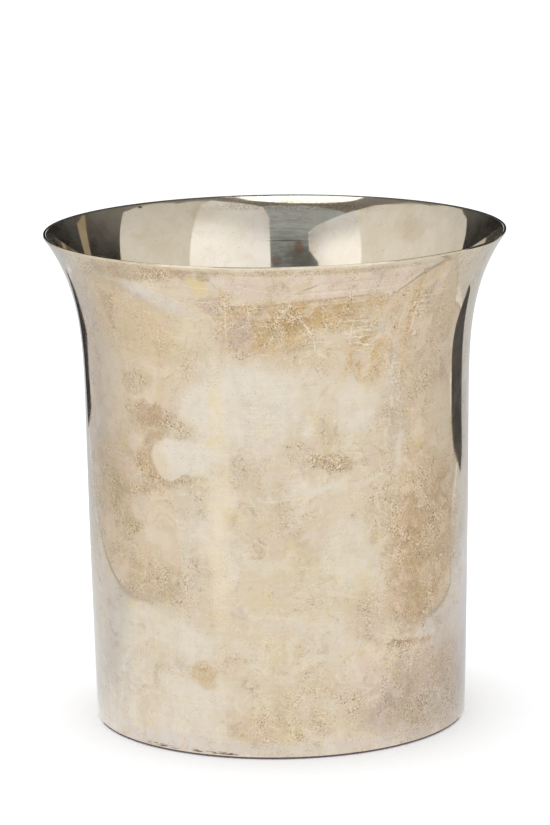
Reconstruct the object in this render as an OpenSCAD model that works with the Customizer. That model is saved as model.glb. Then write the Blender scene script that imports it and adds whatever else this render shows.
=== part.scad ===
// Flared champagne bucket in plated sheet metal.
// A rolled and flared side wall stands on a pressed base plate. A brazed seam closes the wall,
// and a ring of solder joins it to the base. The origin is the middle of the resting face, +Z is up.

/* [Bucket] */
// Height from the resting face to the top of the lip
height = 214.5; // [190:0.5:240]
// Outside diameter of the lip
lip_d = 200; // [192:1:210]
// Outside diameter of the wall where it meets the base plate
foot_d = 162; // [150:1:164]

/* [Wall] */
// Thickness of the wall sheet
wall_t = 1.25; // [1:0.05:1.8]
// How far the wall swells outward between foot and lip, before any flare
swell = 2.85; // [0:0.05:4]
// Height at which the flare begins
flare_z = 130; // [110:1:150]
// Power of the flare curve: a higher number turns out later and harder
flare_power = 3.65; // [2.5:0.05:4.5]

/* [Seam] */
// Width of the brazed seam down the back
seam_w = 0.8; // [0.5:0.1:1.5]

/* [Base] */
// Thickness of the base plate
base_t = 1.8; // [1.7:0.1:2.5]
// Radius of the rounded lower edge of the base plate
edge_r = 1.6; // [0.8:0.1:1.7]
// How far the centre of the base plate is pressed up
press_h = 1.5; // [0.5:0.1:3]
// Radial width of the slope between the flange and the pressed centre
press_w = 2.8; // [2:0.1:2.8]

/* [Solder] */
// Thickness of the solder film under the wall
film_t = 0.1; // [0.05:0.01:0.2]
// Radius of the hollow solder fillet in the inside corner
fillet_r = 3; // [2.8:0.1:3.5]

/* [Hidden] */
$fn = 180;

plated = [0.80, 0.76, 0.69];
braze = [0.78, 0.70, 0.52];
solder = [0.66, 0.65, 0.62];

half_t = wall_t / 2;
// The wall's mid-line runs from its foot on the solder film to the centre of the rounded lip.
foot_z = base_t + film_t;
top_z = height - half_t;
foot_mid = foot_d / 2 - half_t;
lip_mid = lip_d / 2 - half_t;
// Stations up the wall are closer together in the flare than in the straighter part below it.
low_steps = 10;
flare_steps = 20;
stations = [
    for (i = [0:low_steps - 1]) foot_z + (flare_z - foot_z) * i / low_steps,
    for (i = [0:flare_steps]) flare_z + (top_z - flare_z) * i / flare_steps
];
// The foot of the wall is cut level, so both of its skins end on the film.
outer_foot = [skin(foot_z, half_t).x, foot_z];
inner_foot = [skin(foot_z, -half_t).x, foot_z];
// The solder fillet climbs the first stretch of the inner skin, to a little above the pressed centre.
press_z = base_t + press_h;
climb = (press_z + fillet_r - foot_z) / (stations[1] - foot_z);
fillet_top = inner_foot * (1 - climb) + skin(stations[1], -half_t) * climb;
// Radii of the slope on the base plate's upper side: its top is where the fillet ends.
press_top_r = fillet_top.x - fillet_r;
press_low_r = press_top_r + press_w;
// The slope on the underside lies further in, so that the plate keeps its thickness.
under_in = 1.6;
arc_steps = 8;
slope_steps = 8;

// Radius of the wall's mid-line at height z.
function mid_r(z) =
    foot_mid
    + swell * (1 - pow(1 - z / top_z, 2))
    + (lip_mid - foot_mid - swell) * pow(max(0, z - flare_z) / (top_z - flare_z), flare_power);

// Slope of the mid-line at height z, in mm outward for each mm up.
function mid_slope(z) =
    2 * swell * (1 - z / top_z) / top_z
    + (lip_mid - foot_mid - swell) * flare_power / (top_z - flare_z)
    * pow(max(0, z - flare_z) / (top_z - flare_z), flare_power - 1);

// Point of the wall's skin at height z, offset square to the mid-line: outward for a positive distance.
function skin(z, distance) =
    let (lean = atan(mid_slope(z)))
    [mid_r(z) + distance * cos(lean), z - distance * sin(lean)];

// Points along an arc from angle a to angle b about a centre.
function arc(centre, radius, a, b) =
    [for (i = [0:arc_steps]) let (t = a + (b - a) * i / arc_steps) centre + radius * [cos(t), sin(t)]];

// Points along a smooth slope from one point to another, level at both ends.
function slope(from, to) =
    [for (i = [0:slope_steps])
        let (t = i / slope_steps)
        [from.x + (to.x - from.x) * t, from.y + (to.y - from.y) * (1 - cos(180 * t)) / 2]];

module wall_outline() {
    lean = atan(mid_slope(top_z));
    polygon(concat(
        [outer_foot],
        [for (i = [1:len(stations) - 2]) skin(stations[i], half_t)],
        arc([lip_mid, top_z], half_t, -lean, 180 - lean),
        [for (i = [len(stations) - 2:-1:1]) skin(stations[i], -half_t)],
        [inner_foot]
    ));
}

module base_outline() {
    polygon(concat(
        [[0, press_h]],
        slope([press_top_r - under_in, press_h], [press_low_r - under_in, 0]),
        arc([outer_foot.x - edge_r, edge_r], edge_r, -90, 0),
        [[outer_foot.x, base_t]],
        slope([press_low_r, base_t], [press_top_r, press_z]),
        [[0, press_z]]
    ));
}

module solder_outline() {
    polygon(concat(
        [[outer_foot.x, base_t], outer_foot, inner_foot],
        arc([press_top_r, fillet_top.y], fillet_r, 0, -90),
        slope([press_top_r, press_z], [press_low_r, base_t])
    ));
}

// The slot in the wall's back, which the braze fills from foot to lip.
module seam_slot() {
    translate([-seam_w / 2, 0, 0]) cube([seam_w, lip_d, height + 1]);
}

module wall() {
    color(plated)
        difference() {
            rotate_extrude() wall_outline();
            seam_slot();
        }
}

module wall_seam() {
    color(braze)
        intersection() {
            rotate_extrude() wall_outline();
            seam_slot();
        }
}

module base_plate() {
    color(plated) rotate_extrude() base_outline();
}

module base_solder() {
    color(solder) rotate_extrude() solder_outline();
}

wall();
wall_seam();
base_plate();
base_solder();
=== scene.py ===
"""Flared champagne bucket in tarnished silver plate: its looks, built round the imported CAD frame."""
import math
import random

import bmesh
import bpy
from mathutils import Matrix, Vector, noise


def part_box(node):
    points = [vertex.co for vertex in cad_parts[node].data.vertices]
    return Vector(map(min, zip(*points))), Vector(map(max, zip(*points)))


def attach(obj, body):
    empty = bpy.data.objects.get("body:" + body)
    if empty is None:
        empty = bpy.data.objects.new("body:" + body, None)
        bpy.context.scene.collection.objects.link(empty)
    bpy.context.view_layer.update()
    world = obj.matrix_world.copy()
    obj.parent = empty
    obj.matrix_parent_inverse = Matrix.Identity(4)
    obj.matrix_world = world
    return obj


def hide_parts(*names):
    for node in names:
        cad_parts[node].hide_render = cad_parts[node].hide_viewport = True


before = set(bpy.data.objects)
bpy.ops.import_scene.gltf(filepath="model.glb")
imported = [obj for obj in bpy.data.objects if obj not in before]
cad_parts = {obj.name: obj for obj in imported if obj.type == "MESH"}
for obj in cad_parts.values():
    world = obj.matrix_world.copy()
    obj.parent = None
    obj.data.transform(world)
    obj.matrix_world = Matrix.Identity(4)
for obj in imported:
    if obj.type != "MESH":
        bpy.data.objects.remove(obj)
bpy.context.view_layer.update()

MM = 0.001

# Sizes, in metres, from the CAD nodes' boxes.
WALL_LOW, WALL_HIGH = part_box("wall")
BASE_LOW, BASE_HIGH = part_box("base_plate")
SOLDER_LOW, SOLDER_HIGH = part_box("base_solder")
SEAM_LOW, SEAM_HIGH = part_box("wall_seam")
LIP_RADIUS = WALL_HIGH.x
HEIGHT = WALL_HIGH.z
FOOT_Z = WALL_LOW.z
FOOT_RADIUS = BASE_HIGH.x
SEAM_WIDTH = SEAM_HIGH.x - SEAM_LOW.x

# The wall's own dimensions, as the CAD source has them.
SHEET = 1.25 * MM
SWELL = 2.85 * MM
FLARE_Z = 130 * MM
FLARE_POWER = 3.65

# The base plate's and the solder's own dimensions.
EDGE_RADIUS = 1.6 * MM
PLATE = SOLDER_LOW.z
PRESS_WIDTH = 2.8 * MM
UNDER_IN = 1.6 * MM
FILLET = 3.0 * MM

LIP_CENTRE_Z = HEIGHT - SHEET / 2
LIP_MID = LIP_RADIUS - SHEET / 2
FOOT_MID = FOOT_RADIUS - SHEET / 2 - SWELL * (1 - (1 - FOOT_Z / LIP_CENTRE_Z) ** 2)

# Steps round a full turn, and rows along each part of the outlines.
AROUND = 360
LOW_ROWS = 36
FLARE_ROWS = 44
LIP_ROWS = 5
ARC_ROWS = 8

# The worked sheet's dents: their depth, how many to the metre, and how far from the foot and from the lip
# they take to reach it.
DENT_DEPTH = 0.035 * MM
DENTS_PER_METRE = 28
DENT_START = 25 * MM
DENT_END = 12 * MM

# The lip's edge: the radius that turns it upright, its outer rounding, its fine inner corner, how far the cut
# face drops towards the inside, and how far the worn strip, painted as a highlight at the front, runs down
# the inside.
LIP_TURN = 0.5 * MM
LIP_ROUND = 0.15 * MM
LIP_FINE = 0.14 * MM
LIP_DROP = 0.1 * MM
LIP_WORN_HIGHLIGHT = 0.4 * MM


# ---------------------------------------------------------------- shapes

def mid_radius(z):
    """Radius of the wall's mid-line at height z."""
    flare = max(0.0, z - FLARE_Z) / (LIP_CENTRE_Z - FLARE_Z)
    swell = SWELL * (1 - (1 - z / LIP_CENTRE_Z) ** 2)
    return FOOT_MID + swell + (LIP_MID - FOOT_MID - SWELL) * flare ** FLARE_POWER


def lean(z):
    """Angle of the wall's mid-line from the vertical at height z."""
    step = 0.1 * MM
    return math.atan2(mid_radius(z + step) - mid_radius(z - step), 2 * step)


def skin(z, side):
    """Point (radius, height) of the outer skin, side 1, or the inner skin, side -1."""
    angle = lean(z)
    half = side * SHEET / 2
    return Vector((mid_radius(z) + half * math.cos(angle), z - half * math.sin(angle)))


def arc(centre, radius, start, end, rows):
    """Points along an arc, angles in degrees."""
    angles = [math.radians(start + (end - start) * i / rows) for i in range(rows + 1)]
    return [Vector((centre[0] + radius * math.cos(a), centre[1] + radius * math.sin(a))) for a in angles]


def slope(start, end, rows):
    """Points along a smooth slope that is level at both ends."""
    points = []
    for i in range(rows + 1):
        t = i / rows
        rise = (1 - math.cos(math.pi * t)) / 2
        points.append(Vector((start[0] + (end[0] - start[0]) * t, start[1] + (end[1] - start[1]) * rise)))
    return points


def wall_stations():
    """Heights of the wall's rows, closer together in the flare."""
    low = [FOOT_Z + (FLARE_Z - FOOT_Z) * i / LOW_ROWS for i in range(LOW_ROWS)]
    return low + [FLARE_Z + (LIP_CENTRE_Z - FLARE_Z) * i / FLARE_ROWS for i in range(FLARE_ROWS)]


def lip_edge():
    """The sheet's cut edge, dressed upright outside, with the skin that each point starts."""
    angle = lean(LIP_CENTRE_Z)
    tilt = math.degrees(angle)
    outer, inner = skin(LIP_CENTRE_Z, 1), skin(LIP_CENTRE_Z, -1)
    turn_x = LIP_RADIUS - LIP_TURN
    turn_z = outer.y + (LIP_TURN + (turn_x - outer.x) * math.cos(angle)) / math.sin(angle)
    low = HEIGHT - LIP_DROP
    brow = inner.x + (low - inner.y) * math.tan(angle) + LIP_FINE * math.tan((math.pi / 2 - angle) / 2)
    turn = arc((turn_x, turn_z), LIP_TURN, -tilt, 0, LIP_ROWS)
    over = arc((LIP_RADIUS - LIP_ROUND, HEIGHT - LIP_ROUND), LIP_ROUND, 0, 90, LIP_ROWS)
    corner = arc((brow, low - LIP_FINE), LIP_FINE, 90, 180 - tilt, LIP_ROWS)
    down = Vector((-math.sin(angle), -math.cos(angle))) * LIP_WORN_HIGHLIGHT
    # The worn strip over the inner corner carries a painted highlight at the front and painted shade at the
    # back.
    skins = ["lip"] * (len(turn + over) - 1) + ["cut"] + ["worn"] * len(corner) + ["inside"]
    return turn + over + corner + [corner[-1] + down], skins


def wall_profile():
    """The wall's closed outline, with the skin that each point starts."""
    heights = wall_stations()
    outer = [skin(z, 1) for z in heights]
    inner = [skin(z, -1) for z in [LIP_CENTRE_Z, *reversed(heights)]]
    outer[0].y = FOOT_Z
    inner[-1].y = FOOT_Z
    lip, lip_skins = lip_edge()
    return outer + lip + inner, ["outside"] * len(outer) + lip_skins + ["inside"] * len(inner)


def plate_profile():
    """The base plate's outline from the middle of its underside to the middle of its top, with the skins."""
    top_z = BASE_HIGH.z
    raised = top_z - PLATE
    fillet_end = skin(top_z + FILLET, -1).x - FILLET
    low_end = fillet_end + PRESS_WIDTH
    middle = [Vector((fillet_end * i / ARC_ROWS, raised)) for i in range(ARC_ROWS)]
    under = slope((fillet_end - UNDER_IN, raised), (low_end - UNDER_IN, 0), ARC_ROWS)
    edge = arc((FOOT_RADIUS - EDGE_RADIUS, EDGE_RADIUS), EDGE_RADIUS, -90, 0, ARC_ROWS)
    flange = [Vector((FOOT_RADIUS, PLATE))]
    upper = slope((low_end, PLATE), (fillet_end, top_z), ARC_ROWS)
    top = [Vector((fillet_end * (1 - i / ARC_ROWS), top_z)) for i in range(1, ARC_ROWS + 1)]
    skins = ["under"] * len(middle + under) + ["edge"] * len(edge) + ["top"] * len(flange + upper + top)
    return middle[:-1] + under + edge + flange + upper + top, skins[1:]


def solder_profile():
    """The solder's closed outline, film and hollow fillet, with the skins."""
    top_z = BASE_HIGH.z
    inner_foot = Vector((skin(FOOT_Z, -1).x, FOOT_Z))
    touch = Vector((skin(top_z + FILLET, -1).x, top_z + FILLET))
    fillet_end = touch.x - FILLET
    hollow = arc((fillet_end, touch.y), FILLET, 0, -90, ARC_ROWS)
    under = slope((fillet_end, top_z), (fillet_end + PRESS_WIDTH, PLATE), ARC_ROWS)
    points = [Vector((FOOT_RADIUS, PLATE)), Vector((FOOT_RADIUS, FOOT_Z)), inner_foot] + hollow + under[1:]
    return points, ["edge"] + ["hidden"] * (len(points) - 1)


def dent(x, y, z):
    """Small out-of-round of the worked sheet, fading to nothing at the foot and the lip."""
    fade = min(1.0, (z - FOOT_Z) / DENT_START, (HEIGHT - z) / DENT_END)
    return DENT_DEPTH * max(0.0, fade) * noise.noise(Vector((x, y, z)) * DENTS_PER_METRE)


def whole_turn(radius):
    """A full turn that starts at the back."""
    return -math.pi, 2 * math.pi


def all_but_seam(radius):
    """The turn from one side of the seam at the back round to its other side."""
    half = math.asin(SEAM_WIDTH / 2 / radius)
    return half - math.pi, 2 * math.pi - 2 * half


def seam_only(radius):
    """The seam's own width, at the back."""
    half = math.asin(SEAM_WIDTH / 2 / radius)
    return math.pi - half, 2 * half


def lathe(name, profile, span=whole_turn, steps=AROUND, closed=True, worked=False):
    """Turns an outline of (radius, height) points round the Z axis, with angle 0 at the front, -Y.
    Returns the piece and, for each face, the outline point that it starts from.
    A part turn gets end faces."""
    whole = span is whole_turn
    columns = steps if whole else steps + 1
    verts, rings = [], []
    for point in profile:
        radius, height = point
        if radius < 1e-9:
            rings.append([len(verts)] * columns)
            verts.append((0.0, 0.0, height))
            continue
        start, turn = span(radius)
        rings.append(list(range(len(verts), len(verts) + columns)))
        for i in range(columns):
            angle = start + turn * i / steps
            x, y = math.sin(angle), -math.cos(angle)
            pushed = radius + dent(x * radius, y * radius, height) if worked else radius
            verts.append((x * pushed, y * pushed, height))
    faces, starts = [], []
    pairs = list(zip(rings, rings[1:])) + ([(rings[-1], rings[0])] if closed else [])
    for row, (low, high) in enumerate(pairs):
        for i in range(steps):
            j = (i + 1) % columns
            corners = [low[i], low[j], high[j], high[i]]
            face = [c for k, c in enumerate(corners) if c != corners[k - 1]]
            if len(face) > 2:
                faces.append(face)
                starts.append(row)
    if not whole:
        faces.append([ring[0] for ring in reversed(rings)])
        faces.append([ring[-1] for ring in rings])
        starts += [0, 0]
    mesh = bpy.data.meshes.new(name)
    mesh.from_pydata(verts, [], faces)
    mesh.shade_smooth()
    mesh.set_sharp_from_angle(angle=math.radians(30))
    piece = bpy.data.objects.new(name, mesh)
    bpy.context.scene.collection.objects.link(piece)
    return piece, starts


# ---------------------------------------------------------------- node graphs

def srgb(red, green, blue):
    """A colour as seen on a screen, 0 to 255, as the shader's linear colour."""
    values = [c / 255 for c in (red, green, blue)]
    return tuple(v / 12.92 if v <= 0.04045 else ((v + 0.055) / 1.055) ** 2.4 for v in values) + (1.0,)


class Graph:
    """Builds one material's nodes. An input is a number, a colour, a point or another node's output."""

    def __init__(self, name):
        self.material = bpy.data.materials.new(name)
        self.material.use_nodes = True
        self.nodes = self.material.node_tree.nodes
        self.links = self.material.node_tree.links
        self.shader = self.nodes["Principled BSDF"]

    def feed(self, socket, value):
        """Links another node's output to a socket, or sets the socket's own value."""
        if isinstance(value, bpy.types.NodeSocket):
            self.links.new(value, socket)
        else:
            socket.default_value = value

    def add(self, kind, inputs, output=0, **settings):
        """Adds a node, sets it, fills its inputs and returns one of its outputs."""
        node = self.nodes.new("ShaderNode" + kind)
        for name, value in settings.items():
            setattr(node, name, value)
        for key, value in inputs.items():
            self.feed(node.inputs[key], value)
        return node.outputs[output]

    def calc(self, operation, a, b=0.0):
        """Arithmetic on two numbers."""
        return self.add("Math", {0: a, 1: b}, operation=operation)

    def scaled(self, a, factor, rest):
        """A number times a factor, plus the rest."""
        return self.add("Math", {0: a, 1: factor, 2: rest}, operation="MULTIPLY_ADD")

    def vector(self, operation, a, b=(0.0, 0.0, 0.0), output=0):
        """Arithmetic on two vectors."""
        return self.add("VectorMath", {0: a, 1: b}, output, operation=operation)

    def stretch(self, vector, factor):
        """A vector times a number."""
        return self.add("VectorMath", {0: vector, "Scale": factor}, operation="SCALE")

    def ramp(self, value, start, end, low=0.0, high=1.0):
        """Turns start to end smoothly into low to high."""
        inputs = {"Value": value, "From Min": start, "From Max": end, "To Min": low, "To Max": high}
        return self.add("MapRange", inputs, interpolation_type="SMOOTHSTEP")

    def noise(self, vector, size, detail=2.0, rough=0.5, twist=0.0, output=0):
        """Noise with features of the given size, in the vector's own unit."""
        inputs = {"Vector": vector, "Scale": 1 / size, "Detail": detail, "Roughness": rough}
        inputs["Distortion"] = twist
        return self.add("TexNoise", inputs, output)

    def mix(self, factor, a, b, blend="MIX"):
        """Mixes two colours, which the node takes at its sockets 6 and 7."""
        return self.add("Mix", {0: factor, 6: a, 7: b}, 2, data_type="RGBA", blend_type=blend)

    def place(self):
        """The point on the piece, in millimetres in the row frame."""
        return self.stretch(self.add("TexCoord", {}, "Object"), 1 / MM)

    def unroll(self, place, back=False):
        """The wall laid flat, in millimetres: distance round from the front or the back, and height."""
        x, y, z = (self.add("SeparateXYZ", {0: place}, axis) for axis in "XYZ")
        angle = self.calc("ARCTAN2", x, y if back else self.calc("MULTIPLY", y, -1.0))
        return self.add("CombineXYZ", {"X": self.calc("MULTIPLY", angle, ROLLED), "Y": z})

    def spot(self, flat, centre, size, tilt=0.0):
        """Distance from an oval's middle on the unrolled wall, 1 at its rim.
        Its centre is in (degrees, mm), its half sizes are in mm."""
        middle = Vector((math.radians(centre[0]) * ROLLED, centre[1], 0.0))
        along = Vector((math.cos(math.radians(tilt)), math.sin(math.radians(tilt)), 0.0)) / size[0]
        across = Vector((-math.sin(math.radians(tilt)), math.cos(math.radians(tilt)), 0.0)) / size[1]
        target = (middle.dot(along), middle.dot(across), 0.0)
        if tilt == 0:
            local = self.vector("MULTIPLY", flat, (1 / size[0], 1 / size[1], 0.0))
        else:
            x = self.vector("DOT_PRODUCT", flat, along, output="Value")
            y = self.vector("DOT_PRODUCT", flat, across, output="Value")
            local = self.add("CombineXYZ", {"X": x, "Y": y})
        return self.vector("DISTANCE", local, target, output="Value")

    def strokes(self, flat, cell, length, width, shift, turn=math.pi, share=0.5, lean=0.0):
        """Short tapered strokes on the unrolled wall, one in a share of the cells of a random net."""
        moved = self.vector("ADD", flat, (shift, 0.37 * shift, 0.0))
        net = {"Vector": moved, "Scale": 1 / cell, "Randomness": 1.0}
        draw = self.add("TexVoronoi", net, "Color", voronoi_dimensions="2D")
        middle = draw.node.outputs["Position"]
        red = self.add("SeparateColor", {0: draw}, "Red")
        green = self.add("SeparateColor", {0: draw}, "Green")
        local = self.vector("SUBTRACT", moved, middle)
        angle = self.calc("ADD", self.calc("MULTIPLY", self.calc("SUBTRACT", red, 0.5), turn), lean)
        turned = self.add("VectorRotate", {"Vector": local, "Angle": angle}, rotation_type="Z_AXIS")
        oval = self.vector("MULTIPLY", turned, (1 / length, 1 / width, 0.0))
        mark = self.ramp(self.vector("LENGTH", oval, output="Value"), 1.0, 0.3)
        return self.calc("MULTIPLY", mark, self.calc("LESS_THAN", green, share))

    def finished(self, colour, metallic, rough):
        """Feeds the shader and returns the material."""
        for name, value in (("Base Color", colour), ("Metallic", metallic), ("Roughness", rough)):
            self.feed(self.shader.inputs[name], value)
        return self.material


# ---------------------------------------------------------------- silver plate

# The wall is unrolled at this radius, and the marks at the base lie at this height, both in millimetres.
ROLLED = FOOT_RADIUS / MM
JOINT_Z = 2.1

# Colours of the tarnished plate.
CREAM = srgb(219, 204, 179)
PALE = srgb(228, 219, 203)
ASH = srgb(206, 197, 180)
DUN = srgb(192, 180, 162)
TAN = srgb(196, 177, 149)
BROWN = srgb(186, 162, 131)
OCHRE = srgb(198, 166, 116)
YELLOW = srgb(222, 202, 150)
STRAW = srgb(219, 203, 168)
PINK = srgb(219, 198, 182)
ROSE = srgb(200, 178, 158)
LILAC = srgb(214, 206, 200)
SAND = srgb(210, 193, 165)
CREAM_LIGHT = srgb(233, 219, 193)
GREY = srgb(200, 195, 192)
MOSS = srgb(180, 168, 130)
BLUISH = srgb(206, 206, 217)
AMBER = srgb(184, 152, 104)
BRIGHT = srgb(240, 227, 203)
DARK = srgb(140, 116, 88)
SMUDGE = srgb(150, 128, 106)
RUST = srgb(214, 160, 124)
STAIN = srgb(206, 184, 154)
UMBER = srgb(88, 66, 46)

# Colours of the bright plate inside, and of the cut edge: painted light at the front, painted shade at the
# back.
INSIDE_COOL = srgb(243, 236, 222)
INSIDE_WARM = srgb(236, 226, 206)
INSIDE_TINT = srgb(226, 206, 182)
INSIDE_GRAIN = srgb(176, 148, 118)
INSIDE_SPECK = srgb(120, 100, 80)
LIP_PAINTED_LIGHT = srgb(238, 227, 202)
CUT_PAINTED_LIGHT = srgb(148, 137, 118)
EDGE_PAINTED_SHADE = srgb(92, 86, 78)
WORN_PAINTED_HIGHLIGHT = srgb(250, 247, 240)
WORN_PAINTED_SHADE = srgb(92, 84, 72)

# Colours of bare metal: the base where it stands, the solder and the seam, each from light to dark.
RUBBED_BRASS = srgb(196, 164, 110)
SOLDER_TONES = (srgb(178, 170, 156), srgb(138, 126, 110))
SEAM_TONES = (srgb(210, 192, 158), srgb(186, 164, 128))

# Clouds of colour: (degrees round, height in mm), half sizes in mm, tilt, softness, raggedness, colour and
# strength. Most are tarnish; the lilac, grey and bluish clouds out at the sides are painted reflections and
# painted shade.
CLOUDS = [
    # The lilac and grey clouds out at the sides are painted reflections and painted shade, colour for what
    # the sides mirror.
    ((-66, 36), (26, 40), 0, 1.2, 1.0, LILAC, 0.6),
    ((74, 50), (14, 52), 0, 1.0, 0.6, LILAC, 0.7),
    ((-70, 160), (18, 60), 0, 1.0, 0.8, GREY, 0.8),
    ((78, 155), (12, 42), 0, 1.0, 0.8, GREY, 0.6),
    ((-40, 188), (26, 22), 0, 1.2, 1.5, STRAW, 0.4),
    ((-55, 114), (18, 26), 0, 0.9, 1.6, TAN, 0.65),
    ((50, 88), (22, 30), -8, 0.8, 1.6, BROWN, 0.75),
    ((70, 82), (10, 12), 0, 1.0, 1.2, DUN, 0.5),
    ((42, 64), (14, 9), 0, 0.6, 1.0, BROWN, 0.5),
    ((46, 178), (18, 32), 0, 0.9, 1.4, DUN, 0.5),
    ((42, 126), (18, 12), 0, 0.9, 1.4, TAN, 0.4),
    ((-8, 152), (24, 20), 0, 0.8, 1.2, PALE, 0.8),
    ((-40, 72), (20, 11), 0, 0.7, 1.2, TAN, 0.6),
    ((-30, 98), (20, 14), 0, 1.0, 1.4, PALE, 0.4),
    ((-4, 186), (17, 11), 0, 0.8, 1.2, OCHRE, 0.8),
    ((13, 192), (26, 7), 0, 0.8, 1.4, OCHRE, 0.75),
    ((26, 172), (10, 12), 10, 0.7, 1.2, OCHRE, 0.6),
    ((10, 195), (30, 5), 2, 0.5, 0.9, OCHRE, 0.6),
    ((14, 205), (34, 6), 0, 0.6, 0.8, PINK, 0.8),
    ((-16, 207), (18, 5), 0, 0.8, 1.2, PINK, 0.5),
    ((23, 150), (10, 11), 25, 0.9, 1.2, PALE, 0.75),
    ((38, 144), (9, 12), 0, 0.9, 1.2, DUN, 0.4),
    ((-28, 21), (22, 16), 0, 0.9, 1.2, PALE, 0.75),
    ((-4, 14), (18, 10), 0, 1.0, 1.6, OCHRE, 0.35),
    ((30, 30), (17, 15), 0, 0.9, 1.6, PINK, 0.6),
    ((32, 24), (14, 12), 0, 0.9, 1.8, ROSE, 0.5),
    ((54, 24), (22, 20), 0, 1.4, 1.8, ROSE, 0.85),
    ((62, 16), (14, 12), 0, 0.9, 1.2, DUN, 0.5),
    ((10, 74), (26, 16), 0, 1.0, 1.4, STRAW, 0.5),
    ((20, 88), (12, 15), 0, 1.0, 1.2, PALE, 0.6),
    ((-40, 52), (26, 14), 0, 1.2, 1.2, PALE, 0.5),
    ((15, 52), (9, 14), 0, 1.0, 1.2, PALE, 0.5),
    ((0, 46), (11, 10), 0, 1.0, 1.4, STRAW, 0.6),
    ((-57, 150), (11, 24), 0, 1.0, 1.2, PALE, 0.6),
    # A painted reflection: a bluish strip on the right side. Then painted shade near the left foot.
    ((82, 48), (14, 36), 0, 1.0, 0.6, BLUISH, 0.6),
    ((-80, 10), (10, 16), 0, 1.0, 0.8, GREY, 0.5),
    ((8, 74), (11, 8), 0, 1.0, 1.4, PALE, 0.4),
    ((36, 105), (17, 8), 0, 0.9, 1.8, TAN, 0.55),
    ((57, 142), (8, 15), 0, 1.0, 1.2, PALE, 0.45),
    ((30, 177), (15, 9), 0, 0.9, 1.6, OCHRE, 0.3),
    ((2, 191.5), (15, 6), 0, 0.8, 1.4, AMBER, 0.8),
    ((-16, 200), (6, 5), 0, 0.8, 1.6, OCHRE, 0.45),
    ((8, 176), (28, 8), 0, 1.0, 1.4, OCHRE, 0.22),
    ((40, 100), (15, 15), 0, 0.9, 1.6, BROWN, 0.5),
    ((-26, 45), (8, 10), 0, 0.9, 1.4, PALE, 0.65),
    ((-28, 7), (17, 3), 0, 1.0, 1.0, PALE, 0.45),
    # Painted shade near the right foot.
    ((76, 10), (12, 12), 0, 1.0, 1.0, GREY, 0.45),
    # Lilac bands tint the lowest strip of the wall along the foot.
    ((0, 4), (140, 3.5), 0, 1.0, 0.8, LILAC, 0.45),
    ((-42, 5), (40, 4), 0, 1.0, 1.0, LILAC, 0.5),
    ((57, 49), (15, 9), 0, 1.0, 1.0, LILAC, 0.6),
]

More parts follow.
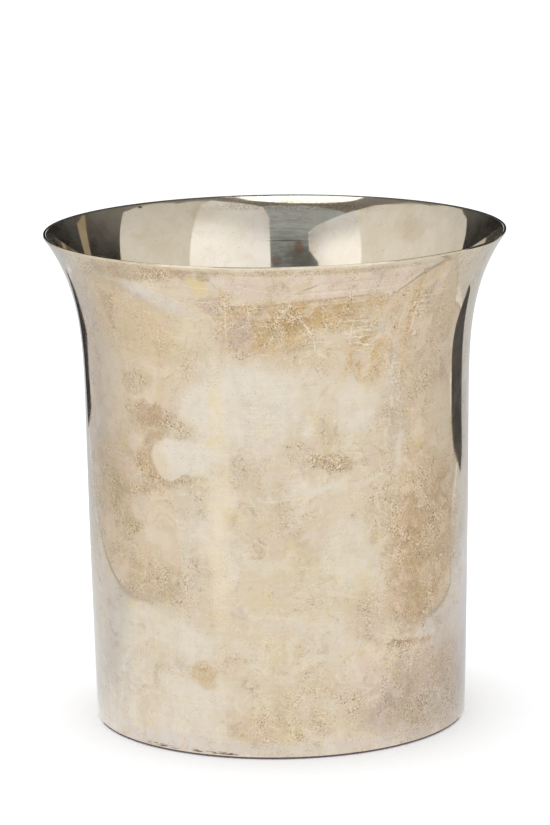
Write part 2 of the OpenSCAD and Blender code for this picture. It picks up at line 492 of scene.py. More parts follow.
# Smaller marks with firmer edges, in the same terms.
MARKS = [
    ((-22, 152), (11, 10), 0, 0.7, 0.8, PALE, 0.7),
    # This tall cream streak is a painted reflection, a bright band that the wall mirrors.
    ((-17.5, 112), (4.5, 54), 0, 0.9, 0.5, CREAM_LIGHT, 0.7),
    ((-40, 147), (12, 4.5), -8, 0.8, 2.4, BROWN, 0.6),
    ((-36, 141), (14, 6), -10, 0.8, 2.4, BROWN, 0.5),
    ((-45, 160), (8, 5), 20, 0.8, 2.0, TAN, 0.5),
    ((-40, 209.5), (19, 4), 0, 0.9, 1.6, BROWN, 0.65),
    ((60, 208), (15, 4.5), 0, 0.9, 1.4, TAN, 0.35),
    ((45, 76), (10, 8), 0, 0.9, 1.8, BROWN, 0.5),
    ((-7, 196.5), (8, 0.6), 3, 0.9, 1.6, BROWN, 0.8),
    ((8, 198.3), (15, 0.6), 5, 0.9, 1.6, BROWN, 0.8),
    ((22, 199.6), (9, 0.5), 2, 0.9, 1.6, BROWN, 0.7),
    ((8, 204), (4, 0.4), 25, 0.9, 1.2, BROWN, 0.7),
    ((8, 211.5), (44, 1.2), 0, 0.9, 1.6, BROWN, 0.5),
    ((-17, 197), (6, 4), 0, 0.6, 1.4, ROSE, 0.8),
    ((-10, 183), (5, 10), 0, 0.7, 1.2, ROSE, 0.8),
    ((-53, 192), (4, 7), 0, 0.8, 1.4, TAN, 0.6),
    ((-56, 112), (4, 8), 10, 0.8, 1.8, MOSS, 0.5),
    ((-49, 97), (6, 3), 0, 0.8, 1.8, MOSS, 0.5),
    ((-52, 122), (5, 6), 0, 0.8, 1.6, PINK, 0.6),
    ((-44, 106), (6, 6), 0, 0.8, 1.6, PALE, 0.5),
    ((-38, 94), (8, 4), -20, 0.8, 1.6, PALE, 0.5),
    ((-46, 134), (5, 4), 0, 0.8, 1.6, PALE, 0.5),
    ((-60, 92), (4, 7), 0, 0.8, 1.6, PALE, 0.4),
    ((-33, 198), (15, 3.5), -20, 1.1, 1.6, LILAC, 0.5),
    ((16, 128), (9, 4), -10, 0.6, 1.8, BROWN, 0.7),
    ((-24, 37), (6, 5), 0, 0.6, 1.4, OCHRE, 0.55),
    ((-22, 32), (4, 3), 0, 0.6, 1.4, OCHRE, 0.4),
    ((26, 57), (9, 7), 0, 0.6, 1.2, ROSE, 0.5),
    ((43, 45.5), (12, 1.8), -4, 0.9, 2.0, BROWN, 0.7),
    ((38, 46), (5, 1.4), -10, 0.9, 2.0, DARK, 0.3),
    ((-20, 205), (3.6, 4.5), 0, 1.2, 2.4, YELLOW, 0.75),
    ((-28, 210.5), (9, 2.2), 0, 0.9, 1.8, BROWN, 0.9),
    ((-18, 209.5), (2.5, 2), 0, 0.7, 1.6, DARK, 0.35),
    ((-30, 121), (11, 2), 0, 0.9, 1.8, BROWN, 0.45),
    ((-18, 126), (4, 3), 0, 0.7, 1.8, OCHRE, 0.5),
    ((-35, 127), (13.5, 12), 12, 0.5, 1.8, BROWN, 0.5),
    ((-26, 131), (16, 9), -10, 0.9, 1.4, PALE, 0.7),
    ((-33, 128.5), (9.5, 8.5), 12, 0.2, 0.7, PALE, 0.8),
    ((-26, 130), (9, 6.5), -12, 0.6, 1.2, PALE, 0.7),
    ((36, 178), (1.6, 16), -6, 1.1, 0.8, LILAC, 0.35),
    ((31, 190), (1.2, 12), -16, 1.1, 0.8, LILAC, 0.35),
    ((40, 192), (1.5, 16), -4, 0.9, 1.0, OCHRE, 0.45),
    ((42, 14), (3.5, 5), 0, 0.6, 1.4, TAN, 0.6),
]

# Random patches for the side turned away from the camera: their seed and number, and the ranges of their
# degrees round, heights, half sizes along and across, tilts, raggedness and strengths.
BACK_SEED = 7
BACK_CLOUDS = 18
BACK_DEGREES = (95, 160)
BACK_HEIGHTS = (12, 205)
BACK_ALONG = (7, 22)
BACK_ACROSS = (6, 20)
BACK_TILTS = (-30, 30)
BACK_RAGS = (1.2, 2.0)
BACK_STRENGTHS = (0.4, 0.75)
BACK_SOFT = 0.8

# Layered stains: size in mm, the noise at which each starts and is full, colour, strength.
STAINS = [
    (24, 0.53, 0.57, SAND, 0.35),
    (30, 0.44, 0.41, ASH, 0.3),
    (18, 0.56, 0.6, PALE, 0.4),
    (12, 0.57, 0.61, PINK, 0.4),
    (10, 0.41, 0.37, ROSE, 0.3),
    (8, 0.58, 0.62, BROWN, 0.3),
    (7, 0.4, 0.37, CREAM_LIGHT, 0.4),
]

# Places rubbed in close horizontal lines: (degrees round, height), half sizes in mm, strength.
RUBBED = [
    ((23, 185), (8, 9), 1.0),
    ((42, 192), (7, 9), 1.0),
    ((13, 178), (7, 5), 0.8),
    ((-5, 150), (14, 8), 0.3),
    ((22, 133), (9, 6), 0.5),
    ((0, 187), (10, 6), 0.6),
]

# Scratches: (degrees round, height), half length and half width in mm, direction, colour, strength.
SCRATCHES = [
    ((4.6, 191.5), (3.2, 0.28), -38, BRIGHT, 0.9),
    ((8.6, 186), (4.6, 0.4), -58, BRIGHT, 1.0),
    ((10.7, 178.5), (3.0, 0.35), -80, BRIGHT, 1.0),
    ((12.8, 174.5), (4.0, 0.3), -35, BRIGHT, 0.8),
    ((9, 175), (4.0, 0.25), 18, BRIGHT, 0.6),
    ((-13.6, 190), (14, 0.35), 88, CREAM_LIGHT, 0.7),
    ((-7.3, 192), (9, 0.25), 90, CREAM_LIGHT, 0.6),
    ((21, 184), (8, 0.3), 82, BRIGHT, 0.7),
    ((24, 181.5), (7, 0.4), 2, BRIGHT, 0.7),
    ((24.5, 184.5), (6, 0.3), 0, BRIGHT, 0.7),
    ((25, 188), (6, 0.3), 3, BRIGHT, 0.6),
    ((25, 178), (6.5, 0.35), -14, BRIGHT, 0.8),
    ((23, 175.5), (5, 0.3), -20, BRIGHT, 0.7),
    ((33.5, 184), (17, 0.5), 70, CREAM_LIGHT, 0.5),
    ((36.5, 187), (15, 0.45), 76, CREAM_LIGHT, 0.5),
    ((40.8, 186), (8, 0.4), 80, BRIGHT, 0.8),
    ((42, 179.5), (2.5, 0.9), 20, BRIGHT, 0.8),
    ((18, 202), (30, 0.3), 2, CREAM_LIGHT, 0.7),
    ((15, 197), (22, 0.3), 2, CREAM_LIGHT, 0.6),
    ((22, 207), (20, 0.35), 3, ROSE, 0.6),
    ((14, 203), (16, 0.4), 3, ROSE, 0.6),
    ((-0.6, 207), (6, 0.16), 94, DARK, 0.45),
    ((-1.2, 199), (4, 0.16), 80, DARK, 0.45),
    ((-53, 24), (9, 0.16), 87, DARK, 0.55),
    ((-54.3, 13.5), (3.5, 0.16), 70, DARK, 0.55),
    ((-70.5, 67), (2.0, 0.5), -40, DARK, 0.7),
    ((-7, 110), (9, 0.5), -65, CREAM_LIGHT, 0.6),
    ((2, 113), (16, 0.7), 6, CREAM_LIGHT, 0.5),
    ((33, 152), (9, 0.25), 25, BRIGHT, 0.6),
    ((40, 46.5), (9, 0.25), -14, DARK, 0.5),
    ((60.5, 98), (5, 0.35), 75, BRIGHT, 0.5),
    ((36, 16), (10, 0.3), -8, BRIGHT, 0.4),
]

# Marks inside, in the same terms as the clouds, but with the degrees counted from the back.
INSIDE_MARKS = [
    ((8, 188), (5, 5), 0, 0.8, 1.6, SMUDGE, 0.45),
    ((7.2, 192), (1.8, 3.2), 0, 0.6, 0.8, RUST, 0.6),
    ((0.6, 186.4), (2.2, 2.2), 0, 0.6, 0.8, RUST, 0.45),
    ((4, 195), (7, 0.3), 0, 0.9, 0.6, SMUDGE, 0.7),
    ((42, 203), (6, 5), 0, 1.2, 2.2, STAIN, 0.35),
    ((-20, 207), (5, 4), 0, 1.2, 2.2, STAIN, 0.3),
    ((-38, 213), (1.1, 0.5), 0, 0.6, 1.0, DARK, 1.0),
]


def lay_patches(graph, flat, colour, patches, edges):
    """Mixes each patch's colour in. Its rim follows one of the edge noises."""
    for number, (centre, size, tilt, soft, rag, tone, strength) in enumerate(patches):
        distance = graph.spot(flat, centre, size, tilt)
        edge = edges[number % len(edges)]
        ragged = graph.scaled(edge, rag, distance)
        mask = graph.ramp(ragged, 1 + soft / 2, 1 - soft / 2, 0.0, strength)
        colour = graph.mix(mask, colour, tone)
    return colour


def centred_noise(graph, place, size, shift):
    """Rough noise about zero."""
    moved = graph.vector("ADD", place, (shift, -shift, shift))
    return graph.calc("SUBTRACT", graph.noise(moved, size, 7, 0.62, 0.3), 0.5)


def lay_stains(graph, place, colour):
    """Layers of stains with firm rims, each from its own noise. The palest plate keeps few of them."""
    calm = graph.ramp(graph.add("RGBToBW", {0: colour}), 0.6, 0.7, 1.0, 0.3)
    for number, (size, start, end, tone, strength) in enumerate(STAINS):
        moved = graph.vector("ADD", place, (31.0 * number, 12.0, -23.0 * number))
        mask = graph.ramp(graph.noise(moved, size, 8, 0.6, 0.9), start, end, 0.0, strength)
        colour = graph.mix(graph.calc("MULTIPLY", mask, calm), colour, tone)
    return colour


def back_clouds():
    """Random clouds and marks for the half of the wall that is turned away."""
    dice = random.Random(BACK_SEED)
    tones = [PALE, TAN, LILAC, BROWN, STRAW, ROSE, ASH, OCHRE]
    clouds = []
    for number in range(BACK_CLOUDS):
        side = 1 if number % 2 else -1
        centre = (side * dice.uniform(*BACK_DEGREES), dice.uniform(*BACK_HEIGHTS))
        size = (dice.uniform(*BACK_ALONG), dice.uniform(*BACK_ACROSS))
        tone = tones[number % len(tones)]
        tilt = dice.uniform(*BACK_TILTS)
        rag = dice.uniform(*BACK_RAGS)
        strength = dice.uniform(*BACK_STRENGTHS)
        clouds.append((centre, size, tilt, BACK_SOFT, rag, tone, strength))
    return clouds


def tarnish_and_painted_reflections(graph, place, flat):
    """Colour of the outside before its fine grain: tarnish, and painted reflections and painted shade."""
    cloud = graph.noise(place, 34, 5, 0.6, 0.6)
    warm = graph.noise(graph.vector("ADD", place, (70.0, 20.0, 5.0)), 22, 5, 0.62, 0.8)
    colour = graph.mix(graph.ramp(cloud, 0.38, 0.66), CREAM, SAND)
    colour = graph.mix(graph.ramp(warm, 0.5, 0.72, 0.0, 0.8), colour, PALE)
    edges = [centred_noise(graph, place, 16, 30.0), centred_noise(graph, place, 11, 90.0)]
    colour = lay_patches(graph, flat, colour, CLOUDS + back_clouds(), edges)
    colour = lay_stains(graph, place, colour)
    edges = [centred_noise(graph, place, 5, 50.0), centred_noise(graph, place, 7, 70.0)]
    return lay_patches(graph, flat, colour, MARKS, edges)


def shade(graph, colour, factor):
    """Lightens or darkens a colour by a factor."""
    grey = graph.add("CombineColor", {0: factor, 1: factor, 2: factor})
    return graph.mix(1.0, colour, grey, "MULTIPLY")


def mottling(graph, place, flat, colour, dirt, mottle):
    """Uneven depth of tone, yellow and pink tints, and faint streaks along and across."""
    depth = graph.ramp(dirt, 0, 1, 0.18, 0.85)
    colour = shade(graph, colour, graph.scaled(mottle, depth, 1.0))
    tint = graph.noise(graph.vector("ADD", place, (15.0, 60.0, 33.0)), 9, 6, 0.65, 0.4)
    colour = graph.mix(graph.ramp(tint, 0.54, 0.7, 0.0, 0.4), colour, YELLOW)
    colour = graph.mix(graph.ramp(tint, 0.46, 0.3, 0.0, 0.45), colour, PINK)
    rub = graph.noise(graph.vector("MULTIPLY", flat, (0.05, 1.0, 1.0)), 1.8, 5, 0.66)
    colour = shade(graph, colour, graph.ramp(rub, 0.3, 0.7, 0.98, 1.02))
    smear = graph.noise(graph.vector("MULTIPLY", flat, (1.0, 0.12, 1.0)), 3.0, 4, 0.6)
    return shade(graph, colour, graph.ramp(smear, 0.3, 0.7, 0.985, 1.015))


def flecks(graph, place, flat, colour, dirt):
    """Clusters of dark and bright flecks, curled hairlines and short strokes, where the plate is dirty."""
    cluster = graph.noise(graph.vector("ADD", place, (3.0, 8.0, 77.0)), 13, 6, 0.68, 0.9)
    cluster = graph.ramp(cluster, 0.42, 0.6)
    busy = graph.calc("MULTIPLY", cluster, graph.ramp(dirt, 0, 1, 0.2, 1.0))
    busy = graph.calc("MAXIMUM", busy, graph.ramp(dirt, 0.1, 0.8, 0.0, 0.3))
    fine = graph.noise(place, 0.8, 3, 0.8, 0.5)
    amount = graph.calc("MULTIPLY", graph.ramp(fine, 0.47, 0.39), busy)
    colour = graph.mix(amount, colour, DARK)
    amount = graph.calc("MULTIPLY", graph.ramp(fine, 0.53, 0.61), graph.calc("MULTIPLY", busy, 0.95))
    colour = graph.mix(amount, colour, BRIGHT)
    curl = graph.calc("ABSOLUTE", graph.calc("SUBTRACT", graph.noise(place, 3.4, 3, 0.6, 1.4), 0.5))
    amount = graph.calc("MULTIPLY", graph.ramp(curl, 0.012, 0.003), graph.ramp(busy, 0, 1, 0.08, 0.8))
    colour = graph.mix(amount, colour, BRIGHT)
    short = graph.strokes(flat, 1.7, 1.0, 0.13, 11.0, share=0.6)
    colour = graph.mix(graph.calc("MULTIPLY", short, graph.ramp(busy, 0, 1, 0.0, 0.9)), colour, BRIGHT)
    short = graph.strokes(flat, 2.1, 1.1, 0.14, 47.0)
    return graph.mix(graph.calc("MULTIPLY", short, graph.ramp(busy, 0, 1, 0.0, 0.8)), colour, DARK)


def rubbing(graph, place, flat, colour, mottle):
    """Close horizontal lines in the rubbed places, long hairlines and specks in patches."""
    patchy = graph.ramp(graph.noise(place, 24, 4, 0.6), 0.42, 0.6)
    rubbed = 0.0
    for centre, size, strength in RUBBED:
        distance = graph.spot(flat, centre, size)
        ragged = graph.scaled(mottle, 2.0, distance)
        rubbed = graph.calc("MAXIMUM", graph.ramp(ragged, 1.3, 0.5, 0.0, strength), rubbed)
    lines = graph.noise(graph.vector("MULTIPLY", flat, (0.12, 1.0, 1.0)), 0.9, 3, 0.7, 0.3)
    lines = graph.ramp(lines, 0.36, 0.64, 0.86, 1.13)
    colour = shade(graph, colour, graph.add("Mix", {0: rubbed, 2: 1.0, 3: lines}))
    long = graph.strokes(flat, 7.0, 5.5, 0.17, 23.0, 1.2)
    colour = graph.mix(graph.calc("MULTIPLY", long, graph.ramp(patchy, 0, 1, 0.05, 0.75)), colour, BRIGHT)
    speck = graph.strokes(flat, 4.0, 0.32, 0.2, 71.0, share=0.3)
    return graph.mix(graph.calc("MULTIPLY", speck, graph.ramp(patchy, 0, 1, 0.2, 0.9)), colour, DARK)


def fine_grain(graph, place, flat, colour, dirt):
    """All that is finer than the clouds and marks of the tarnish and the painted reflections."""
    mottle = graph.calc("SUBTRACT", graph.noise(place, 7, 7, 0.7, 0.6), 0.5)
    colour = mottling(graph, place, flat, colour, dirt, mottle)
    colour = flecks(graph, place, flat, colour, dirt)
    return rubbing(graph, place, flat, colour, mottle)


def joint_marks(graph, place, flat):
    """Flakes along the joint of wall and base, in two places left of the middle."""
    height = graph.add("SeparateXYZ", {0: place}, "Z")
    flake = graph.noise(graph.vector("MULTIPLY", flat, (0.1, 1.0, 1.0)), 0.9, 5, 0.7, 0.2)
    band = graph.ramp(graph.calc("ABSOLUTE", graph.calc("SUBTRACT", height, JOINT_Z)), 0.8, 0.3)
    left = graph.ramp(graph.spot(flat, (-39, 2), (9, 6)), 1.2, 0.7)
    right = graph.ramp(graph.spot(flat, (-20, 2), (11, 6)), 1.2, 0.7)
    where = graph.calc("MULTIPLY", band, graph.calc("MAXIMUM", left, right))
    return graph.calc("MULTIPLY", where, graph.ramp(flake, 0.47, 0.53, 0.0, 0.95))


def silver_outside():
    """The outside: tarnish with painted reflections and painted shade, grain, scratches and the marks at the
    base.
    """
    graph = Graph("silver_plate_outside")
    place = graph.place()
    flat = graph.unroll(place)
    colour = tarnish_and_painted_reflections(graph, place, flat)
    dirt = graph.ramp(graph.add("RGBToBW", {0: colour}), 0.66, 0.44)
    colour = fine_grain(graph, place, flat, colour, dirt)
    jag = graph.vector("SUBTRACT", graph.noise(place, 2.5, 3, 0.6, output="Color"), (0.5, 0.5, 0.5))
    jagged = graph.add("VectorMath", {0: jag, 1: (2.2, 2.2, 0.0), 2: flat}, operation="MULTIPLY_ADD")
    for centre, size, tilt, tone, strength in SCRATCHES:
        distance = graph.spot(jagged, centre, size, tilt)
        colour = graph.mix(graph.ramp(distance, 1.0, 0.2, 0.0, strength), colour, tone)
    colour = graph.mix(joint_marks(graph, place, flat), colour, UMBER)
    film = graph.noise(place, 13, 6, 0.66, 0.6)
    metallic = graph.ramp(film, 0.35, 0.7, 0.96, 1.0)
    dull = graph.ramp(graph.spot(flat, (-42, 192), (42, 26)), 1.2, 0.8, 0.0, 0.1)
    return graph.finished(colour, metallic, graph.calc("ADD", graph.ramp(dirt, 0, 1, 0.05, 0.14), dull))


def silver_inside():
    """The inside: bright plate with a warm tint, a few marks, and grain under the lip at the back."""
    graph = Graph("silver_plate_inside")
    place = graph.place()
    flat = graph.unroll(place, back=True)
    haze = graph.noise(place, 14, 6, 0.62, 0.5)
    colour = graph.mix(graph.ramp(haze, 0.3, 0.7), INSIDE_COOL, INSIDE_WARM)
    tint = graph.noise(graph.vector("ADD", place, (9.0, 40.0, 3.0)), 5, 6, 0.66, 0.8)
    colour = graph.mix(graph.ramp(tint, 0.5, 0.7, 0.0, 0.3), colour, INSIDE_TINT)
    edges = [centred_noise(graph, place, 4, 20.0)]
    colour = lay_patches(graph, flat, colour, INSIDE_MARKS, edges)
    wavy = graph.vector("ADD", graph.vector("MULTIPLY", flat, (0.16, 1.0, 1.0)), (3.0, 3.0, 0.0))
    streak = graph.noise(wavy, 1.6, 4, 0.6, 0.9)
    where = graph.ramp(graph.spot(flat, (4.5, 198), (9, 15)), 1.2, 0.8)
    streak = graph.ramp(streak, 0.38, 0.62, 0.84, 1.08)
    colour = shade(graph, colour, graph.mix(where, (1.0, 1.0, 1.0, 1.0), streak))
    grain = graph.noise(place, 0.8, 4, 0.75, 0.5)
    where = graph.ramp(graph.spot(flat, (6, 210.0), (34, 2.2)), 1.3, 0.6)
    amount = graph.calc("MULTIPLY", where, graph.ramp(grain, 0.44, 0.56, 0.0, 0.5))
    colour = graph.mix(amount, colour, INSIDE_GRAIN)
    speck = graph.strokes(flat, 6.0, 0.3, 0.2, 19.0, share=0.35)
    colour = graph.mix(graph.calc("MULTIPLY", speck, 0.6), colour, INSIDE_SPECK)
    metallic = graph.ramp(haze, 0.35, 0.7, 0.97, 1.0)
    return graph.finished(colour, metallic, graph.ramp(haze, 0.3, 0.8, 0.03, 0.08))


def silver_lip(name, front, back, turn, metallic, rough):
    """A strip of the cut edge, painted light at the front and painted shade at the back. Its colour goes from
    front to back between two places on the Y axis, in mm, where the light on the real edge turns."""
    graph = Graph(name)
    place = graph.place()
    worn = graph.noise(place, 4, 4, 0.6)
    depth = graph.add("SeparateXYZ", {0: place}, "Y")
    colour = graph.mix(graph.ramp(depth, turn[0], turn[1]), front, back)
    colour = shade(graph, colour, graph.ramp(worn, 0.35, 0.7, 1.0, 0.86))
    return graph.finished(colour, metallic, graph.ramp(worn, 0.3, 0.8, rough, 1.5 * rough))


def silver_under():
    """The underside: turning marks in rings, worn through a little where it stands."""
    graph = Graph("silver_plate_under")
    place = graph.place()
    worn = graph.noise(place, 9, 6, 0.62)
    radius = graph.vector("LENGTH", graph.vector("MULTIPLY", place, (1.0, 1.0, 0.0)), output="Value")
    rings = graph.noise(graph.add("CombineXYZ", {"X": radius}), 0.8, 4, 0.7)
    colour = graph.mix(graph.ramp(worn, 0.35, 0.7), CREAM, TAN)
    colour = shade(graph, colour, graph.ramp(rings, 0.3, 0.7, 0.9, 1.06))
    stand = graph.ramp(graph.add("SeparateXYZ", {0: place}, "Z"), 0.35, 0.02)
    rubbed = graph.calc("MULTIPLY", stand, graph.ramp(graph.noise(place, 2.2, 5, 0.7), 0.4, 0.6))
    colour = graph.mix(rubbed, colour, RUBBED_BRASS)
    return graph.finished(colour, 1.0, graph.ramp(rings, 0.3, 0.7, 0.16, 0.3))


def joining_metal(name, tones, rough):
    """Solder or braze: a worn metal between two tones and two roughnesses."""
    graph = Graph(name)
    worn = graph.noise(graph.place(), 2.5, 4, 0.6)
    colour = graph.mix(graph.ramp(worn, 0.35, 0.7), tones[0], tones[1])
    return graph.finished(colour, 1.0, graph.ramp(worn, 0.3, 0.8, rough[0], rough[1]))


# ---------------------------------------------------------------- pieces

def dress(piece, starts, skins, finishes, node):
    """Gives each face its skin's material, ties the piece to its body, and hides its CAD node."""
    names = list(finishes)
    for name in names:
        piece.data.materials.append(finishes[name])
    for polygon, start in zip(piece.data.polygons, starts):
        polygon.material_index = names.index(skins[start])
    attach(piece, "root")
    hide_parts(node)


def make_bucket():
    """The four pieces of the bucket, each in place of its CAD node."""
    outside = silver_outside()
    inside = silver_inside()
    # The lip, cut face and worn strip are painted light at the front and painted shade at the back.
    lip = silver_lip("silver_plate_lip", LIP_PAINTED_LIGHT, EDGE_PAINTED_SHADE, turn=(-50, -12), metallic=1.0, rough=0.1)
    cut = silver_lip("silver_plate_cut", CUT_PAINTED_LIGHT, EDGE_PAINTED_SHADE, turn=(-60, -15), metallic=1.0, rough=0.2)
    worn = silver_lip("silver_plate_worn_highlight", WORN_PAINTED_HIGHLIGHT, WORN_PAINTED_SHADE, turn=(0, 14), metallic=0.3, rough=0.35)
    braze = joining_metal("brazed_seam", SEAM_TONES, (0.1, 0.2))
    solder = joining_metal("soft_solder", SOLDER_TONES, (0.3, 0.5))
    under = silver_under()
    profile, skins = wall_profile()
    piece, starts = lathe("wall_sheet", profile, all_but_seam, worked=True)
    finishes = {"outside": outside, "lip": lip, "cut": cut, "worn": worn, "inside": inside}
    dress(piece, starts, skins, finishes, "wall")
    piece, starts = lathe("seam_strip", profile, seam_only, steps=2, worked=True)
    finishes = {"outside": braze, "lip": lip, "cut": cut, "worn": worn, "inside": inside}
    dress(piece, starts, skins, finishes, "wall_seam")
    profile, skins = plate_profile()
    piece, starts = lathe("base_disc", profile, closed=False)
    finishes = {"under": under, "edge": outside, "top": inside}
    dress(piece, starts, skins, finishes, "base_plate")
    profile, skins = solder_profile()
    piece, starts = lathe("solder_ring", profile)
    dress(piece, starts, skins, {"edge": outside, "hidden": solder}, "base_solder")


# ---------------------------------------------------------------- camera

# The camera stands at the photographer's place: a long lens, a little above the lip.
CAMERA_PLACE = (-0.00095, -1.777, 0.497)
CAMERA_PITCH = 11.56
CAMERA_ROLL = -0.80
CAMERA_LENS = 181.5
FILM_WIDTH = 36
CAMERA_NEAREST = 0.05
CAMERA_FARTHEST = 60


def make_camera():
    """The camera of the photographed view."""
    data = bpy.data.cameras.new("camera")
    data.lens = CAMERA_LENS
    data.sensor_width = FILM_WIDTH
    data.clip_start = CAMERA_NEAREST
    data.clip_end = CAMERA_FARTHEST
    camera = bpy.data.objects.new("camera", data)
    tilt = Matrix.Rotation(math.radians(90 - CAMERA_PITCH), 4, "X")
    roll = Matrix.Rotation(math.radians(CAMERA_ROLL), 4, "Z")
    camera.matrix_world = Matrix.Translation(CAMERA_PLACE) @ tilt @ roll
    bpy.context.scene.collection.objects.link(camera)
    bpy.context.scene.camera = camera


# ---------------------------------------------------------------- studio

# The floor lies this far below the base, the cards on it this far apart, and the lit sheet starts this far
# out from the foot. The contact shadow starts this far in.
FLOOR_GAP = 0.02 * MM
CARD_GAP = 0.05 * MM
SHEET_GAP = 0.4 * MM
CONTACT_IN = 4 * MM
SHEET_START = FOOT_RADIUS + SHEET_GAP
SHEET_END = 8.0
FLOOR_RADIUS = 12.0
FLOOR_SIDES = 64
FLOOR_ROUGH = 0.7
FLOOR_SHINE = 0.1
RING_SIDES = 96
ROOM_RADIUS = 9.0

SOFTBOX_GLOW = 1.4
SOFTBOX_SIZE = 1.26
SOFTBOX_PLACE = (-0.1, 0.07, 1.2)
WORLD_COLOUR = (0.97, 0.985, 1.0, 1.0)
WORLD_STRENGTH = 1.18

# Standing cards that show in reflections: name, degrees round from the camera's side towards +X, distance,
# the glow's name, colour and ramps, and the outline (along, height).
STANDING_CARDS = [
    ("card_right", 50, 0.75, "card_right_dull", (1.0, 0.96, 0.88, 1.0),
     [("Z", 0.4, 1.3, 0.7, 0.56)],
     [(1.05, 0.0), (1.05, 1.25), (0.3, 1.27), (-0.66, 1.68), (-0.78, 1.4), (-0.82, 0.0)]),
    ("card_right_core", 50, 0.745, "card_right_bright", (1.0, 0.99, 1.0, 1.0),
     [("X", -0.7, 0.0, 0.97, 1.08), ("Z", 0.6, 1.2, 0.95, 0.64)],
     [(0.07, 0.0), (0.07, 1.3), (0.0, 1.4), (-0.66, 1.68), (-0.78, 1.4), (-0.82, 0.0)]),
    ("card_left", -70, 0.75, "card_left_dull", (1.0, 0.96, 0.9, 1.0),
     [("Z", 0.4, 1.1, 0.76, 0.66), ("X", -1.4, 0.1, 0.85, 1.05)],
     [(0.62, 0.0), (0.70, 0.52), (0.85, 0.72), (0.84, 1.03), (0.7, 1.09), (-0.05, 1.1),
      (-0.6, 0.99), (-1.2, 0.98), (-1.42, 0.9), (-1.5, 0.7), (-1.5, 0.0)]),
    ("card_left_core", -70, 0.745, "card_left_bright", (1.0, 0.99, 1.0, 1.0),
     [("Z", 0.55, 0.95, 1.1, 0.63), ("X", 0.4, 0.8, 1.0, 0.78)],
     [(0.2, 0.0), (0.6, 0.0), (0.69, 0.52), (0.8, 0.66), (0.84, 1.0), (0.7, 1.08), (0.16, 1.1)]),
    ("card_strip", 133, 0.75, "card_back_strip", (1.0, 0.81, 0.52, 1.0),
     [("Z", 0.3, 0.6, 0.29, 0.31)],
     [(0.01, 0.0), (0.0, 0.62), (0.09, 0.52), (0.09, 0.0)]),
    ("backdrop", -5, 2.6, "backdrop_grey", (0.9, 0.97, 1.0, 1.0),
     [("Z", 0.4, 2.8, 0.15, 0.36)],
     [(-2.4, 0.0), (-2.4, 4.0), (1.2, 4.0), (1.2, 0.0)]),
]

# The lit sheet's shaded parts on the table: behind the bucket, and close by on its right.
SHEET_BACK = [(-0.31, -0.02), (0.27, -0.02), (0.52, 0.6), (3.0, 6.0), (-0.31, 6.0)]
SHEET_RIGHT = [(0.03, -0.1), (0.24, -0.1), (0.24, 0.25), (0.0, 0.25)]

# Where the sheet ends and the table shows, on the left and on the right.
TABLE_LEFT = [
    (-0.44, 6.0), (-0.44, 0.57), (-0.332, 0.57), (-0.32, 0.24), (-0.306, 0.06), (-0.291, -0.08),
    (-0.283, -0.15), (-0.285, -0.18), (-0.296, -0.203), (-0.32, -0.22), (-0.376, -0.24), (-6.0, -0.5),
    (-6.0, 6.0),
]
TABLE_RIGHT = [
    (6.0, -0.4), (0.276, -0.164), (0.252, -0.158), (0.243, -0.143), (0.25, -0.1), (0.255, 0.0),
    (0.262, 0.06), (0.267, 0.115), (0.333, 0.175), (0.417, 0.235), (0.44, 0.36), (6.0, 0.4),
]

# The dark floor past the table.
DARK_LEFT = [(-0.3, 0.565), (-0.44, 0.55), (-0.445, 3.0), (-0.33, 3.0), (-0.3, 0.7)]
DARK_RIGHT = [
    (0.363, 0.368), (0.373, 0.43), (0.394, 0.462), (0.432, 0.497), (0.48, 0.562), (3.0, 4.4), (6.0, 6.0),
    (6.0, 0.45), (0.608, 0.387), (0.59, 0.366), (0.555, 0.35), (0.53, 0.342), (0.486, 0.334),
    (0.44, 0.348), (0.4, 0.363),
]

# The sheet's edge, as the metal mirrors it, a darker strip of painted shade: its full width, the length over
# which it widens, and the Y at which it starts on each side.
EDGE_WIDTH = 6 * MM
EDGE_FADE = 60 * MM
LEFT_EDGE_FRONT = -0.23
RIGHT_EDGE_FRONT = -0.135


def stage_mesh(name, verts, faces, material):
    """A piece of the studio, which is no part of the bucket."""
    mesh = bpy.data.meshes.new(name)
    mesh.from_pydata(verts, [], faces)
    mesh.materials.append(material)
    item = bpy.data.objects.new(name, mesh)
    bpy.context.scene.collection.objects.link(item)
    return item


def only_in_reflections(item):
    """Studio cards show in the metal and nowhere else."""
    item.visible_camera = False
    item.visible_diffuse = False
    item.visible_shadow = False
    item.visible_transmission = False
    item.visible_volume_scatter = False


def glow(name, colour, *ramps):
    """An emission. Each ramp (axis, start, end, low, high) multiplies its strength along one of the
    card's axes."""
    graph = Graph(name)
    local = graph.add("TexCoord", {}, "Object")
    strength = 1.0
    for axis, start, end, low, high in ramps:
        part = graph.ramp(graph.add("SeparateXYZ", {0: local}, axis), start, end, low, high)
        strength = graph.calc("MULTIPLY", part, strength)
    light = graph.add("Emission", {"Color": colour, "Strength": strength})
    graph.links.new(light, graph.nodes["Material Output"].inputs["Surface"])
    graph.nodes.remove(graph.shader)
    graph.material.cycles.emission_sampling = "NONE"
    return graph.material


def upright_card(name, azimuth, distance, outline, material):
    """A standing card that faces the bucket."""
    verts = [(along, 0.0, height) for along, height in outline]
    card = stage_mesh(name, verts, [list(range(len(verts)))], material)
    angle = math.radians(azimuth)
    place = Vector((math.sin(angle), -math.cos(angle), 0.0)) * distance
    card.matrix_world = Matrix.Translation(place) @ Matrix.Rotation(angle, 4, "Z")
    only_in_reflections(card)


def floor_card(name, layer, outline, material):
    """A card that lies on the floor. Later layers lie on top of earlier ones."""
    height = layer * CARD_GAP
    verts = [(x, y, height) for x, y in outline]
    only_in_reflections(stage_mesh(name, verts, [list(range(len(verts)))], material))


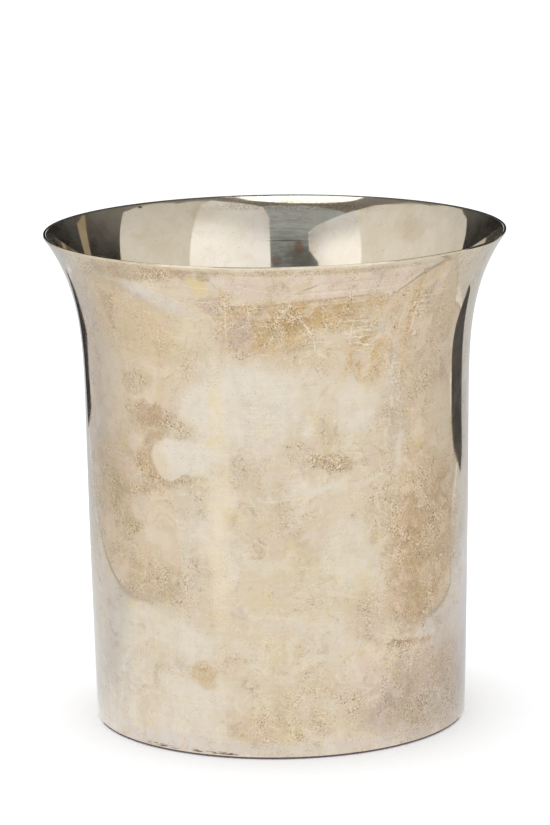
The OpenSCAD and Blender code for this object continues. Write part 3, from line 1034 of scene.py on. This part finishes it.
def make_floor():
    """A plain pale floor."""
    graph = Graph("pale_floor")
    grain = graph.noise(graph.place(), 4, 3)
    colour = graph.mix(grain, (0.92, 0.92, 0.92, 1.0), (0.95, 0.95, 0.95, 1.0))
    material = graph.finished(colour, 0.0, FLOOR_ROUGH)
    graph.shader.inputs["Specular IOR Level"].default_value = FLOOR_SHINE
    turn = [2 * math.pi * i / FLOOR_SIDES for i in range(FLOOR_SIDES)]
    corners = [(FLOOR_RADIUS * math.cos(a), FLOOR_RADIUS * math.sin(a), -FLOOR_GAP) for a in turn]
    stage_mesh("floor", corners, [list(range(FLOOR_SIDES))], material)


def make_world():
    """The soft light all round."""
    world = bpy.data.worlds.new("studio")
    world.use_nodes = True
    background = world.node_tree.nodes["Background"]
    background.inputs["Color"].default_value = WORLD_COLOUR
    background.inputs["Strength"].default_value = WORLD_STRENGTH
    bpy.context.scene.world = world


def make_room():
    """The dark room round the cards, a little lighter towards its ceiling."""
    mesh = bpy.data.meshes.new("room")
    shell = bmesh.new()
    bmesh.ops.create_uvsphere(shell, u_segments=48, v_segments=24, radius=ROOM_RADIUS)
    shell.to_mesh(mesh)
    shell.free()
    mesh.materials.append(glow("room_dark", (1.0, 0.93, 0.85, 1.0), ("Z", 1.5, 7.0, 0.018, 0.19)))
    room = bpy.data.objects.new("room", mesh)
    bpy.context.scene.collection.objects.link(room)
    only_in_reflections(room)


def make_cards():
    """The tall reflectors that the inside of the flare mirrors, their lit cores, and the dark backdrop."""
    for name, azimuth, distance, glow_name, colour, ramps, outline in STANDING_CARDS:
        upright_card(name, azimuth, distance, outline, glow(glow_name, colour, *ramps))


def make_softbox():
    """A round softbox overhead."""
    data = bpy.data.lights.new("softbox", "AREA")
    data.shape = "DISK"
    data.size = SOFTBOX_SIZE
    data.energy = SOFTBOX_GLOW * math.pi * math.pi * (SOFTBOX_SIZE / 2) ** 2
    softbox = bpy.data.objects.new("softbox", data)
    softbox.location = SOFTBOX_PLACE
    softbox.visible_camera = False
    bpy.context.scene.collection.objects.link(softbox)


def ring_card(name, layer, inner, outer, material):
    """A flat ring on the floor."""
    count = RING_SIDES
    turn = [2 * math.pi * i / count for i in range(count)]
    verts = [(inner * math.cos(a), inner * math.sin(a), layer * CARD_GAP) for a in turn]
    verts += [(outer * math.cos(a), outer * math.sin(a), layer * CARD_GAP) for a in turn]
    faces = [[i, (i + 1) % count, count + (i + 1) % count, count + i] for i in range(count)]
    only_in_reflections(stage_mesh(name, verts, faces, material))


def table_edge(outline, inwards, front):
    """The table's outline, widened towards the sheet by the width of the sheet's edge."""
    rim = []
    for x, y in outline:
        width = EDGE_WIDTH * max(0.0, min(1.0, (y - front) / EDGE_FADE))
        rim.append((x + inwards * width, y))
    return rim


def make_floor_cards():
    """What the outside of the wall mirrors: a painted contact shadow, the lit sheet on the table, its edges
    and the dark beyond.
    """
    # The contact ring is a painted contact shadow: a dark card round the foot that only the metal mirrors.
    contact = glow("painted_contact_shadow", (0.15, 0.13, 0.19, 1.0))
    ring_card("contact", 1, FOOT_RADIUS - CONTACT_IN, SHEET_START, contact)
    ring_card("sheet_lit", 1, SHEET_START, SHEET_END, glow("sheet_lit", (1.0, 1.0, 1.0, 1.0)))
    falls = [("Y", -0.02, 0.04, 1.0, 0.84), ("Y", 0.08, 0.5, 1.0, 0.8)]
    floor_card("sheet_back", 2, SHEET_BACK, glow("sheet_back", (0.97, 0.985, 1.0, 1.0), *falls))
    falls = [("X", 0.04, 0.09, 1.0, 0.8), ("X", 0.1, 0.22, 1.0, 1.2), ("Y", -0.06, 0.04, 1.0, 0.84)]
    hug = arc((0, 0), SHEET_START, 90, -68, 24)
    shaded = glow("sheet_shaded", (1.0, 0.99, 1.0, 1.0), *falls)
    floor_card("sheet_right", 3, [*hug, *SHEET_RIGHT], shaded)
    # The edge strips are painted shade along the sheet's edge.
    edge = glow("table_edge", (0.9, 0.86, 0.8, 1.0), ("Y", -0.25, 0.4, 0.62, 0.45))
    beyond = glow("table_beyond", (1.0, 0.95, 0.9, 1.0), ("Y", -0.25, 0.4, 1.0, 0.72))
    floor_card("edge_left", 4, table_edge(TABLE_LEFT, 1, LEFT_EDGE_FRONT), edge)
    floor_card("table_left", 5, TABLE_LEFT, beyond)
    floor_card("edge_right", 4, table_edge(TABLE_RIGHT, -1, RIGHT_EDGE_FRONT), edge)
    floor_card("table_right", 5, TABLE_RIGHT, beyond)
    floor_card("dark_left", 6, DARK_LEFT, glow("room_floor_left", (0.038, 0.035, 0.035, 1.0)))
    dark = glow("room_floor", (0.92, 0.93, 1.0, 1.0), ("Y", 0.4, 0.56, 0.09, 0.075))
    floor_card("dark_right", 6, DARK_RIGHT, dark)


make_camera()
make_bucket()
make_floor()
make_world()
make_room()
make_cards()
make_softbox()
make_floor_cards()
bpy.context.scene.view_settings.view_transform = "Standard"
